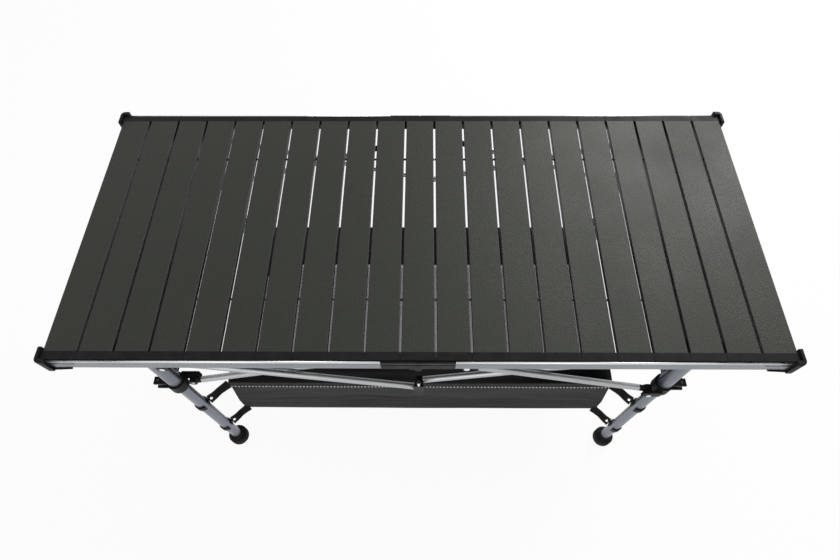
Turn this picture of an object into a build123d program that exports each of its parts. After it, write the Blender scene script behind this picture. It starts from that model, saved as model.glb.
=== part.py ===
import os

from math import atan2, degrees, hypot

from build123d import *

os.makedirs("parts", exist_ok=True)

# Driving sizes in millimetres
TABLE_HEIGHT = 583
SLAT_COUNT = 21
SLAT_WIDTH = 52.5
SLAT_PITCH = 56.4
SLAT_THICKNESS = 10
SLAT_WALL = 1.4
SLAT_BODY = 488
SLAT_CAP = 14
CORD_RADIUS = 2
CORD_ROWS = (-150, 150)
RAIL_HEIGHT = 18
RAIL_DEPTH = 12
RAIL_WALL = 1.5
RAIL_START = 59
RAIL_END = 590
RAIL_LIP = 4
HINGE_DROP = 32
LEG_X = 446
LEG_INSET = 14
LEG_RADIUS = 13
LEG_WALL = 1.5
LEG_TOP_DROP = 34
LEG_END_DROP = 168
LOWER_RADIUS = 11
LOWER_TOP_DROP = 135
FOOT_RADIUS = 22
FOOT_HEIGHT = 36
PIVOT_X = 475
PIVOT_DROP = 20
LINK_X = 418
TIE_DROP = 48
BRACE_DROP = 178
HUB_DROP = 172
BRACE_TIP_X = 80
BRACE_TIP_DROP = 60
LINK_RADIUS = 6
LINK_WALL = 1.2
LINK_GAP = 0.6
EYE_RADIUS = 8
PIN_RADIUS = 3
COLLAR_RADIUS = 17
COLLAR_EAR = 5
LEVER_OFFSET = 32
LEVER_LENGTH = 30
CAP_WALL = 8
CLEARANCE = 0.3
CLIP_DROPS = (308, 469)
NET_X = 400
NET_Y = 195
NET_RIM_DROP = 308
NET_BASE_DROP = 474
NET_WALL = 2.5
STRAP_WIDTH = 20
STRAP_TILT = 50

# Derived heights above the floor
TOP = TABLE_HEIGHT
SLAT_Z = TOP - SLAT_THICKNESS / 2
RAIL_TOP = TOP - SLAT_THICKNESS
RAIL_BASE = RAIL_TOP - RAIL_HEIGHT
HINGE_Z = TOP - HINGE_DROP
PIVOT_Z = TOP - PIVOT_DROP
COLLAR_TOP = TOP - LEG_END_DROP + COLLAR_EAR
COLLAR_BASE = TOP - LEG_END_DROP - 4 * COLLAR_EAR
SIDES = {"left": -1, "right": 1}

# Derived places along the length and across the depth
SLAT_REACH = (SLAT_COUNT // 2 + 0.5) * SLAT_PITCH - 0.2
SLAT_END = SLAT_BODY / 2 + SLAT_CAP
RAIL_FRONT = -SLAT_END - RAIL_LIP
RAIL_BACK = RAIL_FRONT + RAIL_DEPTH
LEG_Y = -RAIL_BACK - LEG_INSET
LEVER_X = LEG_X + LEVER_OFFSET


def behind(near, far):
    return (RAIL_BACK + near, RAIL_BACK + far)


FRONT_LAYER = behind(LINK_GAP + 0.1, LINK_GAP + 0.1 + 2 * LINK_RADIUS)
BACK_LAYER = (FRONT_LAYER[1] + LINK_GAP, FRONT_LAYER[1] + LINK_GAP + 2 * LINK_RADIUS)


# Small building helpers
def block(xs, ys, zs, mode=Mode.ADD):
    centre = (sum(xs) / 2, sum(ys) / 2, sum(zs) / 2)
    with Locations(centre):
        Box(abs(xs[1] - xs[0]), abs(ys[1] - ys[0]), abs(zs[1] - zs[0]), mode=mode)


def rod_y(x, z, radius, ys, mode=Mode.ADD):
    with Locations(Location((x, sum(ys) / 2, z), (90, 0, 0))):
        Cylinder(radius, abs(ys[1] - ys[0]), mode=mode)


def rod_x(y, z, radius, xs, mode=Mode.ADD):
    with Locations(Location((sum(xs) / 2, y, z), (0, 90, 0))):
        Cylinder(radius, abs(xs[1] - xs[0]), mode=mode)


def post(x, y, radius, zs, mode=Mode.ADD):
    with Locations((x, y, sum(zs) / 2)):
        Cylinder(radius, abs(zs[1] - zs[0]), mode=mode)


def bar(start, end, y, radius, mode=Mode.ADD):
    run = (end[0] - start[0], end[1] - start[1])
    turn = degrees(atan2(run[0], run[1]))
    centre = ((start[0] + end[0]) / 2, y, (start[1] + end[1]) / 2)
    with Locations(Location(centre, (0, turn, 0))):
        Cylinder(radius, hypot(*run), mode=mode)


def along(start, end, distance):
    length = hypot(end[0] - start[0], end[1] - start[1])
    share = distance / length
    return (start[0] + share * (end[0] - start[0]), start[1] + share * (end[1] - start[1]))


def save(part, name):
    part.label = name
    export_step(part, f"parts/{name}.step")


# Which layer a link runs in, front of the leg axis or behind it
def tie_layer(side):
    return FRONT_LAYER if side < 0 else BACK_LAYER


def brace_layer(side):
    return BACK_LAYER if side < 0 else FRONT_LAYER


def lug_span(layer):
    return behind(-6, 0) if layer == FRONT_LAYER else behind(26, 34)


def pin_span(layer):
    return behind(-6, 12.5) if layer == FRONT_LAYER else behind(13.5, 34)


def pin_head(layer):
    return behind(-8, -6) if layer == FRONT_LAYER else behind(34, 36)


# Slats with their end caps and cords
def slat_centres(side):
    middle = SLAT_COUNT // 2
    numbers = range(middle + 1) if side < 0 else range(middle + 1, SLAT_COUNT)
    return [(number - middle) * SLAT_PITCH for number in numbers]


def make_slats(name, side):
    spots = [(x, SLAT_Z) for x in slat_centres(side)]
    with BuildPart() as slats:
        with BuildSketch(Plane.XZ):
            with Locations(*spots):
                RectangleRounded(SLAT_WIDTH, SLAT_THICKNESS, 1.2)
                Rectangle(SLAT_WIDTH - 2 * SLAT_WALL, SLAT_THICKNESS - 2 * SLAT_WALL, mode=Mode.SUBTRACT)
        extrude(amount=SLAT_BODY / 2, both=True)
        for row in CORD_ROWS:
            rod_x(row, SLAT_Z, CORD_RADIUS + CLEARANCE, (-2 * SLAT_REACH, 2 * SLAT_REACH), Mode.SUBTRACT)
    save(slats.part, f"{name}_slats")


def make_slat_caps(name, side):
    face = SLAT_BODY / 2
    with BuildPart() as caps:
        for x in slat_centres(side):
            half = SLAT_PITCH / 2 - 0.2
            block((x - half, x + half), (-face - SLAT_CAP, -face), (TOP - SLAT_THICKNESS, TOP))
            plug = SLAT_WIDTH / 2 - SLAT_WALL - 0.2
            drop = SLAT_WALL + 0.2
            block((x - plug, x + plug), (-face, -face + 12), (RAIL_TOP + drop, TOP - drop))
        mirror(about=Plane.XZ)
    save(caps.part, f"{name}_slat_caps")


def make_cords(name, side):
    meet = SLAT_PITCH / 2
    tail = SLAT_REACH - 4
    span = (-tail, meet - 0.2) if side < 0 else (meet + 0.2, tail)
    with BuildPart() as cords:
        for row in CORD_ROWS:
            rod_x(row, SLAT_Z, CORD_RADIUS, span)
    save(cords.part, f"{name}_cords")


# Rails, hinge leaves and corner caps
def make_rail(name, side, end):
    back = RAIL_BACK + 0.5
    with BuildPart() as rail:
        block((side * RAIL_START, side * RAIL_END), (RAIL_FRONT, RAIL_BACK), (RAIL_BASE, RAIL_TOP))
        long_edges = rail.edges().filter_by(Axis.X).group_by(Axis.Y)[0]
        fillet(long_edges, 2.8)
        inner_y = (RAIL_FRONT + RAIL_WALL, RAIL_BACK - RAIL_WALL)
        inner_z = (RAIL_BASE + RAIL_WALL, RAIL_TOP - RAIL_WALL)
        block((side * (RAIL_START - 5), side * (RAIL_END + 5)), inner_y, inner_z, Mode.SUBTRACT)
        rod_y(side * PIVOT_X, PIVOT_Z, PIN_RADIUS + 0.08, (back - 4, back), Mode.SUBTRACT)
    part = rail.part if end == "front" else mirror(rail.part, about=Plane.XZ)
    save(part, f"{end}_{name}_rail")


def make_hinge_leaves(name, side):
    split = (RAIL_FRONT + RAIL_BACK) / 2
    own = (RAIL_FRONT, split - 0.2) if side < 0 else (split + 0.2, RAIL_BACK)
    other = (split - 0.2, RAIL_BACK + 1) if side < 0 else (RAIL_FRONT - 1, split + 0.2)
    with BuildPart() as leaves:
        block((side * 0.3, side * RAIL_START), (RAIL_FRONT, RAIL_BACK), (RAIL_BASE, RAIL_TOP))
        tongue_y = (RAIL_FRONT + RAIL_WALL + 0.1, RAIL_BACK - RAIL_WALL - 0.1)
        tongue_z = (RAIL_BASE + RAIL_WALL + 0.1, RAIL_TOP - RAIL_WALL - 0.1)
        block((side * RAIL_START, side * (RAIL_START + 40)), tongue_y, tongue_z)
        block((side * 0.3, side * 14), own, (HINGE_Z, RAIL_BASE + 1))
        rod_y(0, HINGE_Z, 6, own)
        rod_y(0, HINGE_Z, 6.5, other, Mode.SUBTRACT)
        rod_y(0, HINGE_Z, PIN_RADIUS + 0.06, (RAIL_FRONT - 1, RAIL_BACK + 1), Mode.SUBTRACT)
        mirror(about=Plane.XZ)
    save(leaves.part, f"{name}_hinge_leaves")


def make_hinge_pins():
    with BuildPart() as pins:
        rod_y(0, HINGE_Z, PIN_RADIUS, (RAIL_FRONT, RAIL_BACK))
        mirror(about=Plane.XZ)
    save(pins.part, "hinge_pins")


def make_corner_caps(name, side):
    with BuildPart() as caps:
        ends = (side * (RAIL_END - CAP_WALL), side * (RAIL_END + CAP_WALL))
        block(ends, (RAIL_FRONT - 4, RAIL_BACK + 12), (RAIL_BASE - 4, TOP + 5))
        outer = caps.edges().filter_by(Axis.Z).sort_by(lambda e: -side * e.center().X + e.center().Y)[0]
        fillet(outer, 9)
        fillet(caps.faces().sort_by(Axis.Z)[-1].edges(), 2.5)
        tip, heel = side * (RAIL_END - 38), side * (RAIL_END - 6)
        wedge = [(tip, RAIL_BASE - 0.1), (heel, RAIL_BASE - 0.1), (heel, RAIL_BASE - 4)]
        with BuildSketch(Plane.XZ.offset(-RAIL_BACK - 2)):
            Polygon(*wedge, align=None)
        extrude(amount=RAIL_DEPTH + 4)
        rail_y = (RAIL_FRONT - 0.1, RAIL_BACK + 0.1)
        start = side * (RAIL_END - 20)
        block((start, side * (RAIL_END + 0.1)), rail_y, (RAIL_BASE - 0.05, RAIL_TOP + 0.05), Mode.SUBTRACT)
        slat_x = (start, side * max(SLAT_REACH + CLEARANCE, RAIL_END - 19))
        block(slat_x, (-SLAT_END - CLEARANCE, RAIL_BACK + 50), (RAIL_TOP - 0.05, TOP + 20), Mode.SUBTRACT)
        mirror(about=Plane.XZ)
    save(caps.part, f"{name}_corner_caps")


# End frames with tubes, brackets, collars and pins
def make_leg_tube(name, side, end):
    y = -LEG_Y if end == "front" else LEG_Y
    span = (TOP - LEG_END_DROP, TOP - LEG_TOP_DROP)
    with BuildPart() as tube:
        post(side * LEG_X, y, LEG_RADIUS, span)
        post(side * LEG_X, y, LEG_RADIUS - LEG_WALL, span, Mode.SUBTRACT)
    save(tube.part, f"{end}_{name}_leg_tube")


def make_brackets(name, side):
    layer = tie_layer(side)
    base = TOP - LEG_TOP_DROP
    body = behind(0.6, 28)
    nose = behind(0.6, 12.8) if layer == FRONT_LAYER else behind(13.2, 28)
    inner, outer, shoulder = side * (LINK_X - 10), side * (LINK_X + 10), side * (LINK_X + 14)
    lug_base = TOP - TIE_DROP - 9
    with BuildPart() as brackets:
        rod_y(side * PIVOT_X, PIVOT_Z, 9, body)
        block((side * PIVOT_X, shoulder), body, (base, PIVOT_Z + 8))
        block((shoulder, inner), nose, (base, PIVOT_Z + 8))
        post(side * LEG_X, -LEG_Y, LEG_RADIUS - LEG_WALL - 0.05, (base - 14, base))
        if layer == FRONT_LAYER:
            block((shoulder, inner), nose, (base - 5, base))
            block((shoulder, inner), behind(-6, 1), (base - 5, base + 1))
            block((outer, inner), lug_span(layer), (lug_base, base + 1))
        else:
            block((outer, inner), lug_span(layer), (lug_base, PIVOT_Z + 8))
        rod_y(side * LINK_X, TOP - TIE_DROP, PIN_RADIUS + 0.02, lug_span(layer), Mode.SUBTRACT)
        rod_y(side * PIVOT_X, PIVOT_Z, PIN_RADIUS + 0.02, behind(0, 14), Mode.SUBTRACT)
        mirror(about=Plane.XZ)
    save(brackets.part, f"{name}_top_brackets")


def make_collars(name, side):
    layer = brace_layer(side)
    low, high = COLLAR_BASE, COLLAR_TOP
    ear_x, ear_y = (side * LEG_X, side * (LEVER_X + 7)), (-LEG_Y - 7, -LEG_Y + 7)
    with BuildPart() as collars:
        post(side * LEG_X, -LEG_Y, COLLAR_RADIUS, (low, high))
        block(ear_x, ear_y, (high - COLLAR_EAR, high))
        block(ear_x, ear_y, (low, low + COLLAR_EAR))
        lug_y = lug_span(layer)
        block((side * (LEG_X - 5), side * (LINK_X - 10)), lug_y, (low + 1, high - 6))
        post(side * LEG_X, -LEG_Y, LEG_RADIUS + 0.05, (TOP - LEG_END_DROP, high + 1), Mode.SUBTRACT)
        post(side * LEG_X, -LEG_Y, LOWER_RADIUS + 0.4, (low - 1, high), Mode.SUBTRACT)
        rod_y(side * LINK_X, TOP - BRACE_DROP, PIN_RADIUS + 0.02, lug_y, Mode.SUBTRACT)
        post(side * LEVER_X, -LEG_Y, 2.02, (low - 1, high + 1), Mode.SUBTRACT)
        mirror(about=Plane.XZ)
    save(collars.part, f"{name}_collars")


def make_cross_tubes(name, side):
    with BuildPart() as tubes:
        for drop in (66, 150):
            rod_y(side * LEG_X, TOP - drop, 8, (-LEG_Y, LEG_Y))
            rod_y(side * LEG_X, TOP - drop, 6.8, (-LEG_Y, LEG_Y), Mode.SUBTRACT)
            for y in (-LEG_Y, LEG_Y):
                post(side * LEG_X, y, LEG_RADIUS + 0.05, (TOP - drop - 15, TOP - drop + 15), Mode.SUBTRACT)
    save(tubes.part, f"{name}_cross_tubes")


def make_frame_pins(name, side):
    with BuildPart() as pins:
        for drop, layer in ((TIE_DROP, tie_layer(side)), (BRACE_DROP, brace_layer(side))):
            rod_y(side * LINK_X, TOP - drop, PIN_RADIUS, pin_span(layer))
            rod_y(side * LINK_X, TOP - drop, 4.5, pin_head(layer))
        rod_y(side * PIVOT_X, PIVOT_Z, PIN_RADIUS, behind(-5, 14))
        post(side * LEVER_X, -LEG_Y, 2, (COLLAR_BASE + 0.5, COLLAR_TOP - 0.5))
        mirror(about=Plane.XZ)
    save(pins.part, f"{name}_frame_pins")


def make_lever(name, side, end):
    span = (COLLAR_BASE + COLLAR_EAR + CLEARANCE, COLLAR_TOP - COLLAR_EAR - CLEARANCE)
    grip = (side * (LEVER_X - 4), side * (LEVER_X + 4))
    with BuildPart() as lever:
        post(side * LEVER_X, -LEG_Y, 5, span)
        block(grip, (-LEG_Y, -LEG_Y + LEVER_LENGTH), span)
        post(side * LEVER_X, -LEG_Y, 2.06, (COLLAR_BASE, COLLAR_TOP), Mode.SUBTRACT)
    part = lever.part if end == "front" else mirror(lever.part, about=Plane.XZ)
    save(part, f"{end}_{name}_lever")


# Sliding lower legs with feet and strap clips
def make_lower_leg(name, side, end):
    y = -LEG_Y if end == "front" else LEG_Y
    span = (8, TOP - LOWER_TOP_DROP)
    with BuildPart() as tube:
        post(side * LEG_X, y, LOWER_RADIUS, span)
        post(side * LEG_X, y, LOWER_RADIUS - LEG_WALL, span, Mode.SUBTRACT)
    save(tube.part, f"{end}_{name}_lower_leg")


def make_foot(name, side, end):
    y = -LEG_Y if end == "front" else LEG_Y
    with BuildPart() as foot:
        post(side * LEG_X, y, FOOT_RADIUS, (0, FOOT_HEIGHT - 8))
        fillet(foot.faces().sort_by(Axis.Z)[-1].edges(), 8)
        fillet(foot.faces().sort_by(Axis.Z)[0].edges(), 4)
        post(side * LEG_X, y, 14, (15, FOOT_HEIGHT))
        post(side * LEG_X, y, LOWER_RADIUS + 0.03, (8, FOOT_HEIGHT + 1), Mode.SUBTRACT)
    save(foot.part, f"{end}_{name}_foot")


# Straps run from each leg towards the nearest corner of the net
STRAP_RUN = hypot(LEG_X - NET_X, LEG_Y - NET_Y)


def strap_place(side, distance, offset, z):
    step_x = -(LEG_X - NET_X) / STRAP_RUN
    step_y = (LEG_Y - NET_Y) / STRAP_RUN
    x = side * (LEG_X + step_x * distance + step_y * offset)
    y = -LEG_Y + step_y * distance - step_x * offset
    turn = degrees(atan2(step_y, side * step_x))
    return Location((x, y, z), (0, 0, turn))


def make_strap_clips(name, side, end):
    with BuildPart() as clips:
        for drop in CLIP_DROPS:
            z = TOP - drop
            post(side * LEG_X, -LEG_Y, LOWER_RADIUS + 3, (z - 7, z + 7))
            with Locations(strap_place(side, 17, 0, z)):
                Box(14, 3, 14)
            with Locations(strap_place(side, 20, -2.25, z)):
                Box(5, 1.5, 5)
            post(side * LEG_X, -LEG_Y, LOWER_RADIUS + 0.03, (z - 8, z + 8), Mode.SUBTRACT)
            block((side * LEG_X, side * (LEG_X - 30)), (-LEG_Y - 9, -LEG_Y), (z - 8, z + 8), Mode.SUBTRACT)
    part = clips.part if end == "front" else mirror(clips.part, about=Plane.XZ)
    save(part, f"{end}_{name}_strap_clips")


# Ties from the brackets to the hub and braces from the collars to the rails
def link_ends(side, kind):
    if kind == "tie":
        return (side * LINK_X, TOP - TIE_DROP), (0, TOP - HUB_DROP), tie_layer(side)
    return (side * LINK_X, TOP - BRACE_DROP), (side * BRACE_TIP_X, TOP - BRACE_TIP_DROP), brace_layer(side)


def make_links(name, side, kind):
    start, end, layer = link_ends(side, kind)
    y = sum(layer) / 2
    first = along(start, end, 20)
    last = along(end, start, 20)
    with BuildPart() as links:
        bar(first, last, y, LINK_RADIUS)
        bar(first, last, y, LINK_RADIUS - LINK_WALL, Mode.SUBTRACT)
        mirror(about=Plane.XZ)
    save(links.part, f"{name}_{kind}s")


def make_link_ends(name, side, kind):
    start, end, layer = link_ends(side, kind)
    y = sum(layer) / 2
    plug = LINK_RADIUS - LINK_WALL - 0.05
    with BuildPart() as ends:
        for near, far in ((start, end), (end, start)):
            rod_y(near[0], near[1], EYE_RADIUS, layer)
            bar(near, along(near, far, 20), y, LINK_RADIUS - 0.3)
            bar(near, along(near, far, 36), y, plug)
            rod_y(near[0], near[1], PIN_RADIUS + 0.08, behind(-10, 40), Mode.SUBTRACT)
        mirror(about=Plane.XZ)
    save(ends.part, f"{name}_{kind}_ends")


def make_tip_bolts(name, side):
    layer = brace_layer(side)
    y = sum(layer) / 2
    x, z = side * BRACE_TIP_X, TOP - BRACE_TIP_DROP
    with BuildPart() as bolts:
        rod_y(x, z, PIN_RADIUS, layer)
        rod_y(x, z, 5, (layer[0] - 2, layer[0]))
        post(x, y, 4, (z + EYE_RADIUS, z + 20))
        mirror(about=Plane.XZ)
    save(bolts.part, f"{name}_tip_bolts")


def make_hubs():
    z = TOP - HUB_DROP
    with BuildPart() as hubs:
        block((-9, 9), behind(-6, 0.4), (z - 9, z + 38))
        fillet(hubs.edges().filter_by(Axis.Y), 6)
        rod_y(0, z, PIN_RADIUS + 0.02, behind(-4, 1), Mode.SUBTRACT)
        mirror(about=Plane.XZ)
    save(hubs.part, "hubs")


def make_hub_bolts():
    z = TOP - HUB_DROP
    with BuildPart() as bolts:
        rod_y(0, z, PIN_RADIUS, behind(-4, 12.5))
        post(0, RAIL_BACK - 2.8, 3.2, (z + 38, z + 52))
        mirror(about=Plane.XZ)
    save(bolts.part, "hub_bolts")


# Hanging net and its straps
def make_net():
    rim, base = TOP - NET_RIM_DROP + 9, TOP - NET_BASE_DROP - 9
    with BuildPart() as net:
        block((-NET_X, NET_X), (-NET_Y, NET_Y), (base, rim))
        fillet(net.edges().filter_by(Axis.Z), 8)
        inner_x, inner_y = NET_X - NET_WALL, NET_Y - NET_WALL
        block((-inner_x, inner_x), (-inner_y, inner_y), (base + NET_WALL, rim + 1), Mode.SUBTRACT)
    save(net.part, "storage_net")


def make_net_straps():
    start, end = 24 + CLEARANCE, STRAP_RUN + 14
    with BuildPart() as straps:
        for side in SIDES.values():
            for drop in CLIP_DROPS:
                place = strap_place(side, (start + end) / 2, 0, TOP - drop)
                with Locations(place * Rotation(side * STRAP_TILT, 0, 0)):
                    Box(end - start, 2, STRAP_WIDTH)
        block((-NET_X, NET_X), (-NET_Y, NET_Y), (0, TOP), Mode.SUBTRACT)
        mirror(about=Plane.XZ)
    save(straps.part, "net_straps")


for side_name, sign in SIDES.items():
    make_slats(side_name, sign)
    make_slat_caps(side_name, sign)
    make_cords(side_name, sign)
    make_hinge_leaves(side_name, sign)
    make_corner_caps(side_name, sign)
    make_brackets(side_name, sign)
    make_collars(side_name, sign)
    make_cross_tubes(side_name, sign)
    make_frame_pins(side_name, sign)
    make_tip_bolts(side_name, sign)
    for link in ("tie", "brace"):
        make_links(side_name, sign, link)
        make_link_ends(side_name, sign, link)
    for place in ("front", "rear"):
        make_rail(side_name, sign, place)
        make_leg_tube(side_name, sign, place)
        make_lever(side_name, sign, place)
        make_lower_leg(side_name, sign, place)
        make_foot(side_name, sign, place)
        make_strap_clips(side_name, sign, place)

make_hinge_pins()
make_hubs()
make_hub_bolts()
make_net()
make_net_straps()
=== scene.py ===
"""Slatted folding table with braced legs and a hanging net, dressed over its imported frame."""

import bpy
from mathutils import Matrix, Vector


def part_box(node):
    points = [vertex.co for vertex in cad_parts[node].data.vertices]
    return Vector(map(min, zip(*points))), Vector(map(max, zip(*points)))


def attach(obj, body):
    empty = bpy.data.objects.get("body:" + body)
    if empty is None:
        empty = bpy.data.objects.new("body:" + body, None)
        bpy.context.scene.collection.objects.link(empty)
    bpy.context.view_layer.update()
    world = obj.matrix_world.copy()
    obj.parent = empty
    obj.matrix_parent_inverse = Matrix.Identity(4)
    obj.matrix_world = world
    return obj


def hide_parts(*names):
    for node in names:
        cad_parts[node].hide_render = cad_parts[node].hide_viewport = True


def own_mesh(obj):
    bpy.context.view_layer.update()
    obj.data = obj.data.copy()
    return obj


bl_info = {
    "name": "Slatted Folding Table",
    "version": (1, 0, 0),
    "blender": (4, 5, 0),
    "location": "View3D > Sidebar > Table",
    "description": "Dresses a slatted folding table and its hanging storage net",
    "category": "Object",
}

import bpy
import numpy as np
from bpy.props import FloatProperty, FloatVectorProperty, IntProperty, PointerProperty
from mathutils import Euler, Vector

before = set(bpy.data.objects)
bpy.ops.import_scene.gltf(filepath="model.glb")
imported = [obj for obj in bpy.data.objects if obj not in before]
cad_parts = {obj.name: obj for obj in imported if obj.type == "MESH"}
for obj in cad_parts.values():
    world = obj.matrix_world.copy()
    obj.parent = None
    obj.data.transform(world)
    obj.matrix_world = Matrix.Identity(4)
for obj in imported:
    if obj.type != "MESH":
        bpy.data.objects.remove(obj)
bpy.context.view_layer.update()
NET_LOW, NET_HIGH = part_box("storage_net")

# Which way each side lies along x, and each end along y
SIDES = {"left": -1, "right": 1}
ENDS = {"front": -1, "rear": 1}

# Rail lips, in metres: the line they stand on, half their thickness, their runs and heights. The
# thin top strip of each lip carries a paler metal as a painted highlight.
LIP_Y = 0.26015
LIP_HALF = 0.00185
RAIL_RUN = (0.0590, 0.5815)
HINGE_RUN = (0.0004, 0.0590)
RAIL_LIP = (0.5702, 0.5790)
HIGHLIGHT_LIP = (0.5780, 0.5818)
HINGE_LIP = (0.5702, 0.5816)

# Sleeves on the ties: the line of a tie, its layer on each side, and the rings of a sleeve
HUB_Z = 0.411
TIE_FOOT = (0.418, 0.535)
TIE_LAYERS = {"left": 0.2433, "right": 0.2307}
SLEEVE_REACH = (0.0088, 0.0088, 0.0089, 0.0093, 0.0200, 0.0204, 0.0205, 0.0205)
SLEEVE_RADIUS = (0.0050, 0.0059, 0.0061, 0.0061, 0.0061, 0.0061, 0.0059, 0.0050)
SLEEVE_SPOKES = 32

# Net: grids of the cloth, its distances from the CAD box, and how far it spreads low down
SHELL_GRID = (161, 121)
WALL_GRID = (61, 31)
SHELL_GAP = 0.001
WALL_GAP = 0.0025
WALL_DROP = 0.0005
NET_SPREAD = 0.010
SHELL_THICKNESS = 0.0012
WALL_THICKNESS = 0.0014

# Rim of the net: its tape and its stitches
RIM_GAP = 0.0005
RIM_CORNER = 0.008
RIM_GRID = (360, 20)
RIM_HALF_THICKNESS = 0.0019
RIM_LENGTH = 2.35
STITCH_PITCH = 1.7
STITCH_STAND = 0.0022
STITCH_SINK = 0.0002
STITCH_HALF_WIDTH = 0.0024
STITCH_RISE = 0.003

# Straps and rivets: the legs they start from, and their sizes along and across the run
LEG_X, LEG_Y = 0.446, 0.236
STRAP_LEAN = np.radians(50)
STRAP_LIFT = 0.0072
STRAP_HEIGHTS = (0.275, 0.114)
STRAP_GRID = (33, 24)
STRAP_START, STRAP_LENGTH = 0.0150, 0.0480
BEND_START, BEND_LENGTH = 0.025, 0.018
STRAP_HALF_WIDTH, STRAP_WAIST = 0.0096, 0.0014
STRAP_HALF_THICKNESS = 0.0009
RIVET_GRID = (7, 20)
RIVET_REACH, RIVET_RADIUS = 0.0205, 0.0034
RIVET_SEAT, RIVET_DOME = 0.0007, 0.0016

# Stage: the floor, the white shares that the camera sees, and the lamps as place, size and watts
FLOOR_HALF, FLOOR_LINES, FLOOR_DROP = 6, 25, 0.0004
FLOOR_COLOUR = (0.80, 0.80, 0.80)
FLOOR_WHITE, ROOM_WHITE = 0.93, 1.0
LAMP_TARGET = Vector((0, 0, 0.5))
LAMPS = {
    "right_window": ((1.5, 1.7, 2.1), 1.6, 62.0),
    "front_fill": ((-0.8, -2.2, 1.6), 2.2, 16.0),
}


# Sizes and colours a user would change
def colour_choice(name, text, default):
    return FloatVectorProperty(name=name, description=text, subtype="COLOR", default=default)


def length_choice(name, text, default):
    return FloatProperty(name=name, description=text, unit="LENGTH", default=default)


def angle_choice(name, text, default):
    return FloatProperty(name=name, description=text, subtype="ANGLE", default=default)


class TableFinishes(bpy.types.PropertyGroup):
    slat_colour: colour_choice("Slat coat", "Colour of the hammered coat", (0.025, 0.027, 0.021))
    rail_colour: colour_choice("Rail metal", "Colour of the satin rails", (0.22, 0.24, 0.26))
    lip_highlight_colour: colour_choice("Lip highlight", "Colour of the painted highlight on the rail lip tops", (0.68, 0.69, 0.70))
    leg_colour: colour_choice("Leg metal", "Colour of the leg tubes", (0.18, 0.20, 0.23))
    link_colour: colour_choice("Link metal", "Colour of the ties and braces", (0.42, 0.43, 0.44))
    plastic_colour: colour_choice("Plastic", "Colour of the moulded fittings", (0.009, 0.009, 0.010))
    mesh_colour: colour_choice("Net mesh", "Colour of the knitted mesh", (0.028, 0.028, 0.029))
    thread_colour: colour_choice("Thread", "Colour of the rim stitching", (0.90, 0.88, 0.78))
    grain_size: length_choice("Hammer grain", "Size of one dimple of the slat coat", 0.0016)


class NetSizes(bpy.types.PropertyGroup):
    sag: length_choice("Sag", "Drop of the base at its middle", 0.007)
    pull: length_choice("Pull", "Inward pull of the walls", 0.009)
    hem: length_choice("Hem", "Height of the bound rim", 0.022)
    stitch: length_choice("Stitch", "Length of one stitch", 0.0042)
    ripples: IntProperty(name="Ripples", description="Soft waves along each long wall", default=5)


class CameraSizes(bpy.types.PropertyGroup):
    lens: FloatProperty(name="Lens", description="Focal length in millimetres", default=24.19)
    tilt: angle_choice("Tilt", "Turn up from straight down", 0.50519)
    roll: angle_choice("Roll", "Turn about the view line", -0.01399)
    yaw: angle_choice("Yaw", "Turn about the upright", 0.01832)
    place: FloatVectorProperty(
        name="Place",
        description="Where the camera stands",
        subtype="TRANSLATION",
        default=(0.01066, -0.57248, 1.40943),
    )


def finishes():
    return bpy.context.scene.table_finishes


def net_sizes():
    return bpy.context.scene.net_sizes


# Building blocks for materials
def start_material(name, colour, metal, rough, shine=0.5):
    material = bpy.data.materials.new(name)
    material.use_nodes = True
    tree = material.node_tree
    shader = tree.nodes["Principled BSDF"]
    shader.inputs["Base Color"].default_value = (*colour, 1.0)
    shader.inputs["Metallic"].default_value = metal
    shader.inputs["Roughness"].default_value = rough
    shader.inputs["Specular IOR Level"].default_value = shine
    return material, tree, shader


def add(tree, kind, values=None, **settings):
    made = tree.nodes.new(kind)
    for key, value in settings.items():
        setattr(made, key, value)
    for key, value in (values or {}).items():
        if isinstance(value, bpy.types.NodeSocket):
            tree.links.new(value, made.inputs[key])
        else:
            made.inputs[key].default_value = value
    return made


def combine(tree, first, second, operation):
    return add(tree, "ShaderNodeMath", {0: first, 1: second}, operation=operation).outputs[0]


def place(tree, scale=(1.0, 1.0, 1.0), source="Object"):
    spot = add(tree, "ShaderNodeTexCoord")
    turned = add(tree, "ShaderNodeMapping", {"Vector": spot.outputs[source], "Scale": scale})
    return turned.outputs["Vector"]


def noise(tree, vector, scale, detail):
    values = {"Vector": vector, "Scale": scale, "Detail": detail}
    return add(tree, "ShaderNodeTexNoise", values).outputs["Fac"]


def bands(tree, vector, scale, direction, distortion=0.0):
    values = {"Vector": vector, "Scale": scale, "Distortion": distortion}
    return add(tree, "ShaderNodeTexWave", values, bands_direction=direction).outputs["Fac"]


def ramp(tree, value, given, wanted):
    ends = {"From Min": given[0], "From Max": given[1], "To Min": wanted[0], "To Max": wanted[1]}
    return add(tree, "ShaderNodeMapRange", {"Value": value, **ends}).outputs["Result"]


def spread(tree, value, low=0.0, high=1.0):
    """Stretches the middle of a noise, where most of its values lie, from low to high."""
    return ramp(tree, value, (0.3, 0.7), (low, high))


def shade(tree, shader, value, colour, low, high):
    """Runs the base colour from low to high times the given colour."""
    dark = tuple(low * part for part in colour) + (1.0,)
    light = tuple(min(1.0, high * part) for part in colour) + (1.0,)
    mixed = add(tree, "ShaderNodeMix", {"Factor": value}, data_type="RGBA")
    colours = [socket for socket in mixed.inputs if socket.type == "RGBA"]
    colours[0].default_value = dark
    colours[1].default_value = light
    result = [socket for socket in mixed.outputs if socket.type == "RGBA"][0]
    tree.links.new(result, shader.inputs["Base Color"])


def roughen(tree, shader, value, low, high):
    tree.links.new(spread(tree, value, low, high), shader.inputs["Roughness"])


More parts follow.
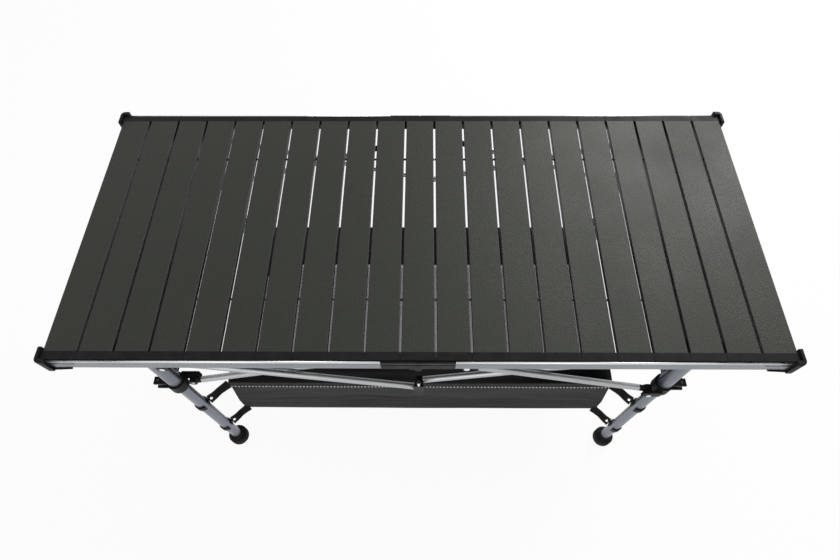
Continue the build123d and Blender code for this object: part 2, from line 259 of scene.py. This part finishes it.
def bump(tree, shader, height, strength, distance, edge=0.0):
    values = {"Height": height, "Strength": strength, "Distance": distance}
    made = add(tree, "ShaderNodeBump", values)
    if edge:
        soft = add(tree, "ShaderNodeBevel", {"Radius": edge}, samples=4)
        tree.links.new(soft.outputs["Normal"], made.inputs["Normal"])
    tree.links.new(made.outputs["Normal"], shader.inputs["Normal"])


def mix_white(tree, plain, white, output, share):
    """Shows a share of white to camera, glossy and transmission rays, and plain to all others."""
    path = add(tree, "ShaderNodeLightPath")
    seen = path.outputs["Is Camera Ray"]
    for ray in ("Is Glossy Ray", "Is Transmission Ray"):
        seen = combine(tree, seen, path.outputs[ray], "MAXIMUM")
    part = combine(tree, seen, share, "MULTIPLY")
    shaders = {0: part, 1: plain.outputs[0], 2: white.outputs[0]}
    mixed = add(tree, "ShaderNodeMixShader", shaders)
    tree.links.new(mixed.outputs[0], output.inputs["Surface"])


# One material for each finish
def hammered_coat():
    colour = finishes().slat_colour
    look = {"metal": 0.2, "rough": 0.42, "shine": 0.25}
    material, tree, shader = start_material("hammered_coat", colour, **look)
    spot = place(tree)
    dimple = {"Vector": spot, "Scale": 1.0 / finishes().grain_size}
    cell = add(tree, "ShaderNodeTexVoronoi", dimple, feature="SMOOTH_F1")
    speck = noise(tree, spot, scale=900.0, detail=4.0)
    patch = noise(tree, spot, scale=7.0, detail=3.0)
    shade(tree, shader, spread(tree, speck), colour, low=0.72, high=1.35)
    both = combine(tree, cell.outputs["Distance"], speck, "ADD")
    bump(tree, shader, both, strength=0.55, distance=0.0006)
    roughen(tree, shader, patch, low=0.36, high=0.50)
    return material


def satin_rail():
    colour = finishes().rail_colour
    material, tree, shader = start_material("satin_rail", colour, metal=1.0, rough=0.3)
    lines = noise(tree, place(tree, (6.0, 900.0, 900.0)), scale=1.0, detail=4.0)
    cloud = noise(tree, place(tree), scale=12.0, detail=3.0)
    shade(tree, shader, spread(tree, lines), colour, low=0.86, high=1.12)
    roughen(tree, shader, cloud, low=0.26, high=0.38)
    bump(tree, shader, lines, strength=0.12, distance=0.0002)
    return material


def tube_metal():
    colour = finishes().leg_colour
    material, tree, shader = start_material("tube_metal", colour, metal=0.85, rough=0.34)
    fleck = noise(tree, place(tree), scale=2200.0, detail=2.0)
    cloud = noise(tree, place(tree, (1.0, 1.0, 0.4)), scale=25.0, detail=4.0)
    shade(tree, shader, spread(tree, fleck), colour, low=0.82, high=1.2)
    roughen(tree, shader, cloud, low=0.28, high=0.42)
    bump(tree, shader, fleck, strength=0.1, distance=0.0001)
    return material


def bare_metal(name, colour, rough):
    material, tree, shader = start_material(name, colour, metal=1.0, rough=rough)
    fleck = noise(tree, place(tree), scale=1600.0, detail=2.0)
    cloud = noise(tree, place(tree), scale=30.0, detail=4.0)
    shade(tree, shader, spread(tree, fleck), colour, low=0.88, high=1.12)
    roughen(tree, shader, cloud, low=rough - 0.05, high=rough + 0.07)
    bump(tree, shader, fleck, strength=0.08, distance=0.0001)
    return material


def moulded_plastic():
    colour = finishes().plastic_colour
    look = {"metal": 0.0, "rough": 0.44, "shine": 0.09}
    material, tree, shader = start_material("moulded_plastic", colour, **look)
    spot = place(tree)
    grain = noise(tree, spot, scale=1400.0, detail=3.0)
    rub = noise(tree, spot, scale=45.0, detail=5.0)
    shade(tree, shader, spread(tree, rub), colour, low=0.8, high=1.5)
    roughen(tree, shader, rub, low=0.36, high=0.55)
    bump(tree, shader, grain, strength=0.25, distance=0.0002, edge=0.001)
    return material


def foot_rubber():
    colour = (0.010, 0.010, 0.010)
    material, tree, shader = start_material("foot_rubber", colour, metal=0.0, rough=0.75, shine=0.1)
    spot = place(tree)
    dust = noise(tree, spot, scale=120.0, detail=6.0)
    shade(tree, shader, spread(tree, dust), colour, low=0.7, high=2.2)
    grain = noise(tree, spot, scale=900.0, detail=2.0)
    bump(tree, shader, grain, strength=0.3, distance=0.0003)
    return material


def bright_steel():
    colour = (0.78, 0.78, 0.80)
    material, tree, shader = start_material("bright_steel", colour, metal=1.0, rough=0.18)
    mark = noise(tree, place(tree), scale=500.0, detail=5.0)
    shade(tree, shader, spread(tree, mark), colour, low=0.88, high=1.1)
    roughen(tree, shader, mark, low=0.12, high=0.28)
    return material


def braided_cord():
    colour = (0.012, 0.012, 0.013)
    material, tree, shader = start_material("braided_cord", colour, metal=0.0, rough=0.8)
    plait = bands(tree, place(tree), scale=260.0, direction="DIAGONAL", distortion=1.5)
    shade(tree, shader, plait, colour, low=0.6, high=1.8)
    bump(tree, shader, plait, strength=0.5, distance=0.0004)
    return material


def knitted_mesh():
    """Dark threads crossing on the cloth's own UV map in metres.

    The holes are open in the base. They close up where the cloth is seen aslant, on the walls,
    and on the front strip of the base.
    """
    colour = finishes().mesh_colour
    look = {"metal": 0.0, "rough": 0.85, "shine": 0.15}
    material, tree, shader = start_material("knitted_mesh", colour, **look)
    cloth = place(tree, source="UV")
    warp = bands(tree, cloth, scale=145.0, direction="X", distortion=0.6)
    weft = bands(tree, cloth, scale=145.0, direction="Y", distortion=0.6)
    weave = combine(tree, warp, weft, "MAXIMUM")
    angle = add(tree, "ShaderNodeLayerWeight", {"Blend": 0.5}).outputs["Facing"]
    aslant = ramp(tree, angle, (0.15, 0.6), (0.14, 0.97))
    spot = add(tree, "ShaderNodeSeparateXYZ", {0: place(tree)})
    wall = ramp(tree, spot.outputs["Z"], (NET_LOW.z + 0.012, NET_LOW.z + 0.030), (0.0, 0.97))
    strip = ramp(tree, spot.outputs["Y"], (-0.085, -0.060), (0.97, 0.0))
    closed = combine(tree, aslant, combine(tree, wall, strip, "MAXIMUM"), "MAXIMUM")
    cover = ramp(tree, weave, (0.55, 0.85), (closed, 1.0))
    tree.links.new(cover, shader.inputs["Alpha"])
    # Painted light and shade: lighter and darker streaks along the cloth stand in for lit and shaded
    # creases.
    crease_shading = noise(tree, place(tree, (5.0, 70.0, 1.0), "UV"), scale=1.0, detail=5.0)
    shade(tree, shader, spread(tree, crease_shading), colour, low=0.6, high=1.7)
    bump(tree, shader, weave, strength=0.5, distance=0.0005)
    shader.inputs["Sheen Weight"].default_value = 0.04
    return material


def woven_cloth(name, colour, pitch):
    """Over-and-under weave on the cloth's own UV map in metres."""
    material, tree, shader = start_material(name, colour, metal=0.0, rough=0.82, shine=0.15)
    cloth = place(tree, source="UV")
    check = add(tree, "ShaderNodeTexChecker", {"Vector": cloth, "Scale": 1.0 / pitch})
    rib = bands(tree, cloth, scale=0.32 / pitch, direction="Y")
    both = combine(tree, check.outputs["Fac"], rib, "ADD")
    fuzz = noise(tree, cloth, scale=300.0, detail=4.0)
    shade(tree, shader, spread(tree, fuzz), colour, low=0.7, high=1.6)
    bump(tree, shader, both, strength=0.4, distance=0.0004)
    shader.inputs["Sheen Weight"].default_value = 0.05
    return material


def sewing_thread():
    colour = finishes().thread_colour
    material, tree, shader = start_material("sewing_thread", colour, metal=0.0, rough=0.7)
    twist = noise(tree, place(tree), scale=1800.0, detail=2.0)
    shade(tree, shader, spread(tree, twist), colour, low=0.7, high=1.2)
    bump(tree, shader, twist, strength=0.4, distance=0.0002)
    return material


def dress(node_name, material):
    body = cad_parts[node_name]
    body.data.materials.clear()
    body.data.materials.append(material)


# Building blocks for meshes
def make_piece(name, points, faces, material, uv=None):
    mesh = bpy.data.meshes.new(name)
    mesh.from_pydata(points.reshape(-1, 3).tolist(), [], faces.tolist())
    mesh.polygons.foreach_set("use_smooth", np.ones(len(mesh.polygons), dtype=bool))
    if uv is not None:
        layer = mesh.uv_layers.new(name="cloth")
        corners = np.empty(len(mesh.loops), dtype=np.int32)
        mesh.loops.foreach_get("vertex_index", corners)
        layer.data.foreach_set("uv", uv.reshape(-1, 2)[corners].astype(np.float32).ravel())
    mesh.materials.append(material)
    mesh.update()
    piece = bpy.data.objects.new(name, mesh)
    bpy.context.scene.collection.objects.link(piece)
    return piece


def grid_faces(rows, columns, wrap=False):
    """Quads between neighbours in a grid, closed round the columns where wrap is set."""
    last = columns if wrap else columns - 1
    row, column = np.meshgrid(np.arange(rows - 1), np.arange(last), indexing="ij")
    beside = (column + 1) % columns
    here, below = row * columns, (row + 1) * columns
    quads = [here + column, here + beside, below + beside, below + column]
    return np.stack(quads, axis=-1).reshape(-1, 4)


def twin_faces(rows, columns):
    """Faces of two closed-round grids whose points follow one another."""
    faces = grid_faces(rows, columns, wrap=True)
    return np.concatenate([faces, faces + rows * columns])


def squarish(wave, power):
    """A sine or cosine with its size raised to a power below one, which squares off a round."""
    return np.sign(wave) * np.abs(wave) ** power


def whole_turn(spokes):
    return np.linspace(0, 2 * np.pi, spokes, endpoint=False)


def turn_outward(piece):
    """Recalculates the normals so that every face of a closed piece points outwards."""
    bpy.context.view_layer.objects.active = piece
    for other in bpy.context.selected_objects:
        other.select_set(False)
    piece.select_set(True)
    bpy.ops.object.mode_set(mode="EDIT")
    bpy.ops.mesh.select_all(action="SELECT")
    bpy.ops.mesh.normals_make_consistent(inside=False)
    bpy.ops.object.mode_set(mode="OBJECT")


def thicken(piece, depth):
    wall = piece.modifiers.new("thickness", "SOLIDIFY")
    wall.thickness = depth
    wall.offset = 0.0


def fold_with_frame(piece):
    """Gives the piece its own copy of its mesh."""
    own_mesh(piece)


# Rails and ties
def make_lips(name, run, heights, material):
    """Lips of a front and a rear rail: upright bars that stand before the slat ends.

    The section goes up one side, over a half round and down the other side. Each end closes
    to a point at the middle of the section.
    """
    low, high = heights
    turn = np.linspace(0, np.pi, 13)
    depth = LIP_HALF * np.concatenate([[1], np.cos(turn), [-1]])
    rise = np.concatenate([[low], high - LIP_HALF + LIP_HALF * np.sin(turn), [low]])
    x = np.array([run[0], run[0], run[1], run[1]])[:, None] * np.ones_like(rise)
    opened = np.array([0.0, 1.0, 1.0, 0.0])[:, None]
    middle = (low + high) / 2
    z = middle + opened * (rise - middle)
    bars = [np.stack([x, way * (opened * depth - LIP_Y), z], axis=-1) for way in (1, -1)]
    return make_piece(name, np.concatenate(bars), twin_faces(*z.shape), material)


def make_sleeves(name, side, material):
    """Tube ends by the hub: rings round a front and a rear tie, drawn in at both ends."""
    hub = np.array([0.0, HUB_Z])
    foot = np.array([SIDES[side] * TIE_FOOT[0], TIE_FOOT[1]])
    way = (foot - hub) / np.linalg.norm(foot - hub)
    turn = whole_turn(SLEEVE_SPOKES)[None, :]
    reach = np.array(SLEEVE_REACH)[:, None]
    radius = np.array(SLEEVE_RADIUS)[:, None]
    x = hub[0] + reach * way[0] - radius * np.sin(turn) * way[1]
    z = hub[1] + reach * way[1] + radius * np.sin(turn) * way[0]
    y = radius * np.cos(turn)
    rings = [np.stack([x, end * TIE_LAYERS[side] + y, z], axis=-1) for end in ENDS.values()]
    return make_piece(name, np.concatenate(rings), twin_faces(*z.shape), material)


# Storage net
def net_depth():
    return NET_HIGH.z - NET_LOW.z - net_sizes().sag - SHELL_GAP


def low_spread(down):
    """Outward spread of the ends: none near the rim, growing evenly to its full size low down."""
    return NET_SPREAD * np.clip((down - 0.2) / 0.5, 0, 1)


def wall_pull(along, down):
    """Inward pull of a long wall: none at its corners, most at a crease two thirds down.

    Soft waves run along the wall, strongest halfway down.
    """
    sizes = net_sizes()
    line = 0.68 + 0.05 * np.sin(np.pi * along)
    crease = np.minimum(down / line, (1 - down) / (1 - line))
    waves = 0.18 * np.sin(np.pi * sizes.ripples * along) * np.sin(np.pi * down)
    return sizes.pull * (1 - along**4) * (crease + waves)


def base_drop(along, across):
    """Sag of the base: a shallow bowl, deepest in the middle, with three soft dips along it."""
    dips = 0.75 + 0.25 * np.cos(3 * np.pi * along)
    return net_sizes().sag * (1 - along**2) * (1 - 0.6 * across**2) * dips


def make_net_shell(material):
    """Front wall, base and rear wall as one strip: down, across with a sag, and up again.

    One step of the strip is a wall, the next the base, the last the other wall. The UV map is
    the strip laid flat, in metres.
    """
    columns, rows = SHELL_GRID
    along = np.linspace(-1, 1, columns)[:, None]
    step = np.linspace(0, 3, rows)[None, :]
    down = np.clip(np.where(step < 1.5, step, 3 - step), 0, 1)
    across = np.clip((step - 1.5) * 2, -1, 1)
    x = (NET_HIGH.x - SHELL_GAP + low_spread(down)) * along
    y = across * (NET_HIGH.y - SHELL_GAP - wall_pull(along, down))
    z = NET_HIGH.z - net_depth() * down - base_drop(along, across) * down
    height, width = NET_HIGH.z - NET_LOW.z, 2 * NET_HIGH.y
    u = NET_HIGH.x * along * np.ones_like(step)
    flat = np.interp(step, [0, 1, 2, 3], [0, height, height + width, 2 * height + width])
    uv = np.stack([u, flat * np.ones_like(along)], axis=-1)
    points = np.stack([x, y, z], axis=-1)
    shell = make_piece("net_shell", points, grid_faces(columns, rows), material, uv)
    thicken(shell, SHELL_THICKNESS)
    return shell


def make_end_wall(side, material):
    """End wall: a panel across the short side, bowed inwards between its four corners."""
    columns, rows = WALL_GRID
    across = np.linspace(-1, 1, columns)[:, None]
    down = np.linspace(0, 1, rows)[None, :]
    bow = net_sizes().pull * 0.8 * (1 - across**2) * np.sin(np.pi * (0.15 + 0.75 * down))
    x = SIDES[side] * (NET_HIGH.x - WALL_GAP - bow + low_spread(down))
    y = (NET_HIGH.y - WALL_GAP) * across * np.ones_like(down)
    z = NET_HIGH.z - WALL_DROP - net_depth() * down * np.ones_like(across)
    points, uv = np.stack([x, y, z], axis=-1), np.stack([y, z], axis=-1)
    wall = make_piece(f"{side}_end_wall", points, grid_faces(columns, rows), material, uv)
    thicken(wall, WALL_THICKNESS)
    return wall


def rim_path(count):
    """Points once round the rim at equal steps, with rounded corners, ahead and outward at each."""
    half = np.array([NET_HIGH.x - RIM_GAP, NET_HIGH.y - RIM_GAP])
    turn = whole_turn(4 * 24) + np.pi / 4
    way = np.stack([np.cos(turn), np.sin(turn)], axis=-1)
    ring = np.sign(way) * (half - RIM_CORNER) + RIM_CORNER * way
    closed = np.vstack([ring, ring[:1]])
    strides = np.linalg.norm(np.diff(closed, axis=0), axis=1)
    lengths = np.concatenate([[0], np.cumsum(strides)])
    steps = np.linspace(0, lengths[-1], count, endpoint=False)
    spots = np.stack([np.interp(steps, lengths, closed[:, axis]) for axis in (0, 1)], axis=-1)
    ahead = np.roll(spots, -1, axis=0) - np.roll(spots, 1, axis=0)
    ahead /= np.linalg.norm(ahead, axis=1, keepdims=True)
    outward = np.stack([ahead[:, 1], -ahead[:, 0]], axis=-1)
    return spots, ahead, outward, lengths[-1]


def make_rim(material):
    """Bound rim: a flattened loop of tape, squared off in section, carried round the top edge."""
    steps, spokes = RIM_GRID
    spots, _, outward, length = rim_path(steps)
    turn = whole_turn(spokes)
    tall = net_sizes().hem / 2
    depth = squarish(np.cos(turn), 0.6) * RIM_HALF_THICKNESS - RIM_HALF_THICKNESS
    rise = squarish(np.sin(turn), 0.6) * tall
    flat = spots[:, None, :] + depth[None, :, None] * outward[:, None, :]
    z = np.broadcast_to(NET_HIGH.z - tall + rise[None, :], flat.shape[:2])
    points = np.concatenate([flat, z[..., None]], axis=-1)
    faces = grid_faces(steps + 1, spokes, wrap=True) % (steps * spokes)
    u = np.broadcast_to(np.linspace(0, length, steps)[:, None], flat.shape[:2])
    v = np.broadcast_to(tall * turn[None, :], flat.shape[:2])
    return make_piece("net_rim", points, faces[:, ::-1], material, np.stack([u, v], axis=-1))


def make_stitches(material):
    """Running stitch along the foot of the hem: one small closed lozenge of thread per stitch."""
    length, hem = net_sizes().stitch, net_sizes().hem
    count = int(RIM_LENGTH / (STITCH_PITCH * length))
    spots, ahead, outward, _ = rim_path(count)
    lozenge = np.array(
        [(-1, 0, 0), (-0.7, 1, 1), (0.7, 1, 1), (1, 0, 0), (0.7, 1, -1), (-0.7, 1, -1)]
    )
    sides = np.array(
        [(0, 1, 5), (1, 2, 4), (1, 4, 5), (2, 3, 4), (0, 2, 1), (0, 3, 2), (0, 5, 4), (0, 4, 3)]
    )
    run = spots[:, None, :] + lozenge[None, :, :1] * ahead[:, None, :] * length / 2
    stand = lozenge[None, :, 1:2] * STITCH_STAND - STITCH_SINK
    flat = run + stand * outward[:, None, :]
    rise = STITCH_RISE + lozenge[None, :, 2] * STITCH_HALF_WIDTH
    z = np.broadcast_to(NET_HIGH.z - hem + rise, flat.shape[:2])
    points = np.concatenate([flat, z[..., None]], axis=-1)
    faces = (np.arange(count)[:, None, None] * len(lozenge) + sides[None]).reshape(-1, 3)
    return make_piece("rim_stitches", points, faces, material)


# Webbing straps from the clips to the corners
def strap_run(side, end):
    leg = np.array([side * LEG_X, end * LEG_Y])
    corner = np.array([side * NET_HIGH.x, end * NET_HIGH.y])
    way = (corner - leg) / np.linalg.norm(corner - leg)
    beside = np.array([-way[1], way[0]]) * side * -end
    return leg, way, beside


def lean(side, end, reach, across, depth):
    """Carries sizes along, across and through a leaning strap to floor places and a rise."""
    leg, way, beside = strap_run(side, end)
    aside = np.cos(STRAP_LEAN) * depth - np.sin(STRAP_LEAN) * across
    flat = leg + reach[..., None] * way + aside[..., None] * beside
    return flat, np.cos(STRAP_LEAN) * across + np.sin(STRAP_LEAN) * depth


def make_straps(name, side, end, material):
    """Two straps: leaning flat bands, narrower in the middle, with a squared-off section.

    Each lies over its clip's tab, then bends down in a smooth step to the line to the corner.
    Its first and last rows close to a point.
    """
    rows, spokes = STRAP_GRID
    share = np.clip((np.arange(rows) - 1) / (rows - 3), 0, 1)[:, None]
    full = np.where(np.arange(rows) % (rows - 1) == 0, 0.0, 1.0)[:, None]
    edge = whole_turn(spokes)[None, :]
    reach = STRAP_START + share * STRAP_LENGTH
    bend = np.clip((reach - BEND_START) / BEND_LENGTH, 0, 1)
    lift = STRAP_LIFT * (1 - bend**2 * (3 - 2 * bend))
    width = full * (STRAP_HALF_WIDTH - STRAP_WAIST * np.sin(np.pi * share))
    across = squarish(np.cos(edge), 0.25) * width
    depth = lift + full * squarish(np.sin(edge), 0.5) * STRAP_HALF_THICKNESS
    flat, rise = lean(side, end, reach, across, depth)
    points = np.concatenate([np.dstack([flat, height + rise]) for height in STRAP_HEIGHTS])
    uv = np.stack([reach * np.ones_like(across), across], axis=-1)
    uv = np.concatenate([uv for _ in STRAP_HEIGHTS])
    return make_piece(name, points, twin_faces(rows, spokes), material, uv)


def make_rivets(name, side, end, material):
    """Rivets: a shallow dome turned about the strap's own normal, one on each clip."""
    rows, spokes = RIVET_GRID
    turn = whole_turn(spokes)[None, :]
    swing = np.linspace(0, 1, rows)[:, None] * np.pi / 2
    radius = RIVET_RADIUS * np.cos(swing)
    depth = STRAP_LIFT + RIVET_SEAT + RIVET_DOME * np.sin(swing) * np.ones_like(turn)
    reach, across = RIVET_REACH + radius * np.cos(turn), radius * np.sin(turn)
    flat, rise = lean(side, end, reach, across, depth)
    points = np.concatenate([np.dstack([flat, height + rise]) for height in STRAP_HEIGHTS])
    return make_piece(name, points, twin_faces(rows, spokes), material)


# Stage
def lay_floor():
    material, tree, shader = start_material("pale_floor", FLOOR_COLOUR, metal=0.0, rough=0.9)
    cloud = noise(tree, place(tree), scale=1.5, detail=2.0)
    shade(tree, shader, spread(tree, cloud), FLOOR_COLOUR, low=0.99, high=1.01)
    line = FLOOR_HALF * np.linspace(-1, 1, FLOOR_LINES)
    x, y = np.meshgrid(line, line, indexing="ij")
    points = np.stack([x, y, np.full_like(x, -FLOOR_DROP)], axis=-1)
    floor = make_piece("pale_floor", points, grid_faces(FLOOR_LINES, FLOOR_LINES), material)
    glow = add(tree, "ShaderNodeEmission", {"Strength": 1.0})
    mix_white(tree, shader, glow, tree.nodes["Material Output"], FLOOR_WHITE)


def light_room(scene):
    world = bpy.data.worlds.new("soft_room")
    world.use_nodes = True
    tree = world.node_tree
    room = tree.nodes["Background"]
    room.inputs["Color"].default_value = (0.86, 0.87, 0.88, 1.0)
    room.inputs["Strength"].default_value = 0.62
    white = {"Color": (1.0, 1.0, 1.0, 1.0), "Strength": 1.0}
    glow = add(tree, "ShaderNodeBackground", white)
    mix_white(tree, room, glow, tree.nodes["World Output"], ROOM_WHITE)
    scene.world = world


def hang_lamps(scene):
    for name, (spot, size, power) in LAMPS.items():
        light = bpy.data.lights.new(name, "AREA")
        light.size, light.energy = size, power
        lamp = bpy.data.objects.new(name, light)
        lamp.location = spot
        lamp.rotation_euler = (LAMP_TARGET - Vector(spot)).to_track_quat("-Z", "Y").to_euler()
        scene.collection.objects.link(lamp)


def set_camera(scene):
    sizes = scene.camera_sizes
    lens = bpy.data.cameras.new("photo_camera")
    lens.lens, lens.sensor_width, lens.sensor_fit = sizes.lens, 36.0, "HORIZONTAL"
    camera = bpy.data.objects.new("photo_camera", lens)
    camera.location = sizes.place
    upright = Euler((0, 0, sizes.yaw)).to_matrix() @ Euler((sizes.tilt, 0, 0)).to_matrix()
    turned = upright @ Euler((0, 0, sizes.roll)).to_matrix()
    camera.rotation_euler = turned.to_euler()
    scene.collection.objects.link(camera)
    scene.camera = camera


# Operators, one for each group of like pieces
class DressTop(bpy.types.Operator):
    """Coats the slats, their end caps and the cords between them"""

    bl_idname = "table.dress_top"
    bl_label = "Slatted top"

    def execute(self, context):
        coat, cord = hammered_coat(), braided_cord()
        plastic = bpy.data.materials["moulded_plastic"]
        for side in SIDES:
            dress(f"{side}_slats", coat)
            dress(f"{side}_slat_caps", plastic)
            dress(f"{side}_cords", cord)
        return {"FINISHED"}


class DressRails(bpy.types.Operator):
    """Finishes the rails with their lips, the hinges and the corner caps"""

    bl_idname = "table.dress_rails"
    bl_label = "Rails and hinges"

    def execute(self, context):
        rail, plastic = satin_rail(), moulded_plastic()
        # Painted highlight: a paler copy of the rail metal on the lips' top strip stands in for the
        # bright line of light along the rail tops.
        top_highlight = bare_metal("lip_highlight_metal", finishes().lip_highlight_colour, rough=0.3)
        lips = (
            ("rail_lips", RAIL_RUN, RAIL_LIP, rail, "rail_metal"),
            ("lip_highlight_tops", RAIL_RUN, HIGHLIGHT_LIP, top_highlight, "rail_metal"),
            ("hinge_lips", HINGE_RUN, HINGE_LIP, plastic, "black_plastic"),
        )
        for side, sign in SIDES.items():
            for end in ENDS:
                dress(f"{end}_{side}_rail", rail)
            dress(f"{side}_hinge_leaves", plastic)
            dress(f"{side}_corner_caps", plastic)
            for name, run, heights, material, slot in lips:
                run = [sign * stop for stop in run]
                piece = make_lips(f"{side}_{name}", run, heights, material)
                turn_outward(piece)
                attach(piece, f"{side}_top")
        dress("hinge_pins", plastic)
        return {"FINISHED"}


class DressFrame(bpy.types.Operator):
    """Finishes the legs, links, brackets, collars, levers and feet"""

    bl_idname = "table.dress_frame"
    bl_label = "Legs and links"

    def execute(self, context):
        link = bare_metal("link_metal", finishes().link_colour, rough=0.42)
        tube, rubber, steel = tube_metal(), foot_rubber(), bright_steel()
        plastic = bpy.data.materials["moulded_plastic"]
        for side in SIDES:
            dress(f"{side}_cross_tubes", tube)
            sleeves = make_sleeves(f"{side}_tie_sleeves", side, link)
            turn_outward(sleeves)
            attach(sleeves, f"{side}_ties")
            for name in ("ties", "braces"):
                dress(f"{side}_{name}", link)
            for name in ("top_brackets", "collars", "tie_ends", "brace_ends"):
                dress(f"{side}_{name}", plastic)
            for name in ("frame_pins", "tip_bolts"):
                dress(f"{side}_{name}", steel)
            for end in ENDS:
                dress(f"{end}_{side}_leg_tube", tube)
                dress(f"{end}_{side}_lower_leg", tube)
                dress(f"{end}_{side}_lever", plastic)
                dress(f"{end}_{side}_strap_clips", plastic)
                dress(f"{end}_{side}_foot", rubber)
        dress("hubs", plastic)
        dress("hub_bolts", steel)
        return {"FINISHED"}


class MakeNet(bpy.types.Operator):
    """Hangs the storage net with its bound rim, stitching and end walls"""

    bl_idname = "table.make_net"
    bl_label = "Storage net"

    def execute(self, context):
        cloth = woven_cloth("wall_cloth", (0.010, 0.010, 0.010), pitch=0.0011)
        tape = woven_cloth("rim_tape", (0.016, 0.016, 0.016), pitch=0.0014)
        shell = make_net_shell(knitted_mesh())
        walls = [make_end_wall(side, cloth) for side in SIDES]
        rim, stitches = make_rim(tape), make_stitches(sewing_thread())
        turn_outward(rim)
        for piece in (shell, *walls, rim, stitches):
            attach(piece, "net")
            fold_with_frame(piece)
        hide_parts("storage_net")
        return {"FINISHED"}


class MakeStraps(bpy.types.Operator):
    """Runs webbing from the clips on the legs to the net's corners, with a rivet on each clip"""

    bl_idname = "table.make_straps"
    bl_label = "Corner straps"

    def execute(self, context):
        webbing = woven_cloth("webbing", (0.013, 0.013, 0.013), pitch=0.0012)
        steel = bpy.data.materials["bright_steel"]
        for side_name, side in SIDES.items():
            for end_name, end in ENDS.items():
                corner = f"{end_name}_{side_name}"
                straps = make_straps(f"{corner}_straps", side, end, webbing)
                rivets = make_rivets(f"{corner}_rivets", side, end, steel)
                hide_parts("net_straps")
                for piece, slot in ((straps, "webbing"), (rivets, "steel")):
                    turn_outward(piece)
                    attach(piece, f"{corner}_lower")
                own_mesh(straps)
        return {"FINISHED"}


class SetStage(bpy.types.Operator):
    """Sets the pale floor, the soft lamps and the camera"""

    bl_idname = "table.set_stage"
    bl_label = "Stage"

    def execute(self, context):
        scene = context.scene
        scene.view_settings.view_transform = "Standard"
        lay_floor()
        light_room(scene)
        hang_lamps(scene)
        set_camera(scene)
        return {"FINISHED"}


class TablePanel(bpy.types.Panel):
    """Lists the steps that dress the table, and the sizes and colours they use"""

    bl_idname = "VIEW3D_PT_slatted_table"
    bl_label = "Slatted Table"
    bl_space_type = "VIEW_3D"
    bl_region_type = "UI"
    bl_category = "Table"

    def draw(self, context):
        scene = context.scene
        for step in STEPS:
            self.layout.operator(step.bl_idname)
        for group in (scene.table_finishes, scene.net_sizes, scene.camera_sizes):
            for name in group.bl_rna.properties.keys():
                if name not in ("rna_type", "name"):
                    self.layout.prop(group, name)


GROUPS = (TableFinishes, NetSizes, CameraSizes)
STEPS = (DressRails, DressTop, DressFrame, MakeNet, MakeStraps, SetStage)


def register():
    for part in (*GROUPS, *STEPS, TablePanel):
        bpy.utils.register_class(part)
    bpy.types.Scene.table_finishes = PointerProperty(type=TableFinishes)
    bpy.types.Scene.net_sizes = PointerProperty(type=NetSizes)
    bpy.types.Scene.camera_sizes = PointerProperty(type=CameraSizes)


def unregister():
    del bpy.types.Scene.camera_sizes
    del bpy.types.Scene.net_sizes
    del bpy.types.Scene.table_finishes
    for part in (TablePanel, *reversed(STEPS), *reversed(GROUPS)):
        bpy.utils.unregister_class(part)


def main():
    register()
    bpy.ops.table.dress_rails()
    bpy.ops.table.dress_top()
    bpy.ops.table.dress_frame()
    bpy.ops.table.make_net()
    bpy.ops.table.make_straps()
    bpy.ops.table.set_stage()
    bpy.context.view_layer.update()


if __name__ == "__main__":
    main()
